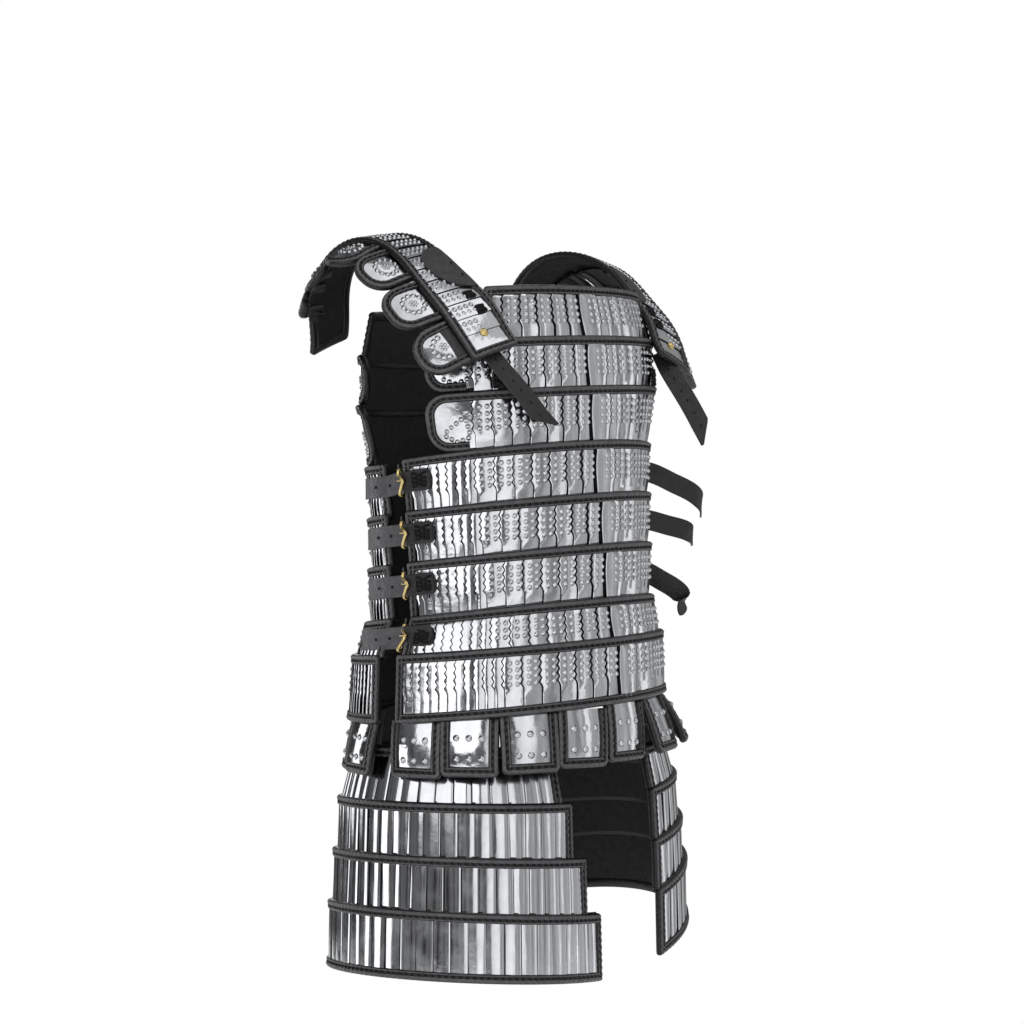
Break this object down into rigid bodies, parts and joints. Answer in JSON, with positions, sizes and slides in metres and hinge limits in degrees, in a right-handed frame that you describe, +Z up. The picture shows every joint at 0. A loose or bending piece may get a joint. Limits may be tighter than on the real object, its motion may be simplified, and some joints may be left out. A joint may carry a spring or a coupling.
{
  "type": "lamellar armour",
  "caption": "Sleeveless lamellar body armour of laced steel rows with leather edges, shoulder straps, side straps, hanging waist plates and split thigh guards, as worn.",
  "frame": {"origin": "between the wearer's shoulders, level with the undersides of the shoulder straps where they carry the weight", "axes": "+Z up along the standing wearer's back, -Y the wearer's front, +X the wearer's left"},
  "size_m": [0.5588, 0.3919, 0.9085],
  "materials": {
    "polished_steel": "mirror polished plate, bossed in rows, on black leather",
    "black_leather": "smooth vegetable-tanned strap leather, dyed black"
  },
  "bodies": {
    "root": {"breast_row_1": "polished_steel", "breast_row_2": "polished_steel", "breast_row_3": "polished_steel", "breast_row_4": "polished_steel", "breast_row_5": "polished_steel", "breast_row_6": "polished_steel", "breast_row_7": "polished_steel", "breast_row_8": "polished_steel", "back_row_1": "polished_steel", "back_row_2": "polished_steel", "back_row_3": "polished_steel", "back_row_4": "polished_steel", "back_row_5": "polished_steel", "back_row_6": "polished_steel", "back_row_7": "polished_steel", "back_row_8": "polished_steel", "shoulder_strap_right": "polished_steel", "shoulder_plate_right_1": "polished_steel", "shoulder_plate_right_2": "polished_steel", "shoulder_plate_right_3": "polished_steel", "shoulder_plate_right_4": "polished_steel", "shoulder_plate_right_5": "polished_steel", "shoulder_plate_right_6": "polished_steel", "shoulder_strap_left": "polished_steel", "shoulder_plate_left_1": "polished_steel", "shoulder_plate_left_2": "polished_steel", "shoulder_plate_left_3": "polished_steel", "shoulder_plate_left_4": "polished_steel", "shoulder_plate_left_5": "polished_steel", "shoulder_plate_left_6": "polished_steel", "shoulder_tongue_right": "black_leather", "shoulder_tongue_left": "black_leather", "side_strap_right_4": "black_leather", "side_strap_right_5": "black_leather", "side_strap_right_6": "black_leather", "side_strap_right_7": "black_leather", "side_strap_left_4": "black_leather", "side_strap_left_5": "black_leather", "side_strap_left_6": "black_leather", "side_strap_left_7": "black_leather", "breast_tasset_1": "polished_steel", "breast_tasset_2": "polished_steel", "breast_tasset_3": "polished_steel", "breast_tasset_4": "polished_steel", "breast_tasset_5": "polished_steel", "breast_tasset_6": "polished_steel", "breast_tasset_7": "polished_steel", "breast_tasset_8": "polished_steel", "breast_tasset_9": "polished_steel", "back_tassets": "polished_steel", "thigh_guard_right_a": "polished_steel", "thigh_guard_right_b": "polished_steel", "thigh_guard_right_c": "polished_steel", "thigh_guard_right_d": "polished_steel", "thigh_guard_left_a": "polished_steel", "thigh_guard_left_b": "polished_steel", "thigh_guard_left_c": "polished_steel", "thigh_guard_left_d": "polished_steel"}
  },
  "joints": []
}
